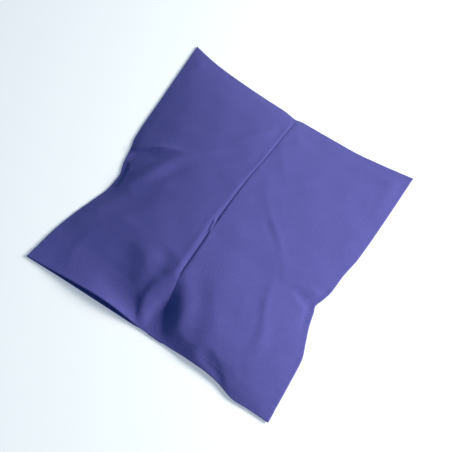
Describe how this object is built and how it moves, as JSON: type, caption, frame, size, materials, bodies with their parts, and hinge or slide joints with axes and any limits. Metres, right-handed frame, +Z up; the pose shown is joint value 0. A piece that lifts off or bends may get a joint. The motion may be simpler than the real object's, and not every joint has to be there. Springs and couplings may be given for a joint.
{
  "type": "eye pillow",
  "caption": "Soft weighted eye pillow: a cotton slip cover with a centre seam and an open hemmed end, over a flaxseed and lavender pouch, folding in half along its seam.",
  "frame": {"origin": "on the resting plane, under the middle of the pillow's box", "axes": "+Z up out of the front; +Y along the centre seam, away from the cover's mouth; -X is the half that folds over"},
  "size_m": [0.22, 0.23, 0.0175],
  "materials": {
    "cover_cloth": "matte plain-weave cotton, violet blue, soft sheen",
    "cover_thread": "matching cotton sewing thread",
    "pouch_cloth": "unbleached muslin, open plain weave",
    "pouch_thread": "undyed cotton sewing thread",
    "flaxseed": "glossy brown seed hulls",
    "lavender": "dried lavender buds, dull grey violet"
  },
  "bodies": {
    "right_half": {"front_panel_right": "cover_cloth", "back_panel_right": "cover_cloth", "side_seam_thread_right": "cover_thread", "far_seam_thread_right": "cover_thread", "front_hem_thread_right": "cover_thread", "back_hem_thread_right": "cover_thread", "pouch_top_right": "pouch_cloth", "pouch_bottom_right": "pouch_cloth", "pouch_edge_thread_right": "pouch_thread", "flaxseed_right": "flaxseed", "lavender_buds_right": "lavender", "centre_seam_thread": "cover_thread"},
    "left_half": {"front_panel_left": "cover_cloth", "back_panel_left": "cover_cloth", "side_seam_thread_left": "cover_thread", "far_seam_thread_left": "cover_thread", "front_hem_thread_left": "cover_thread", "back_hem_thread_left": "cover_thread", "pouch_top_left": "pouch_cloth", "pouch_bottom_left": "pouch_cloth", "pouch_edge_thread_left": "pouch_thread", "flaxseed_left": "flaxseed", "lavender_buds_left": "lavender"}
  },
  "joints": [
    {"name": "centre_fold", "type": "hinge", "parent": "right_half", "child": "left_half", "pos_m": [0, 0, 0.019], "axis": [0, 1, 0], "range_deg": [0, 178]}
  ]
}
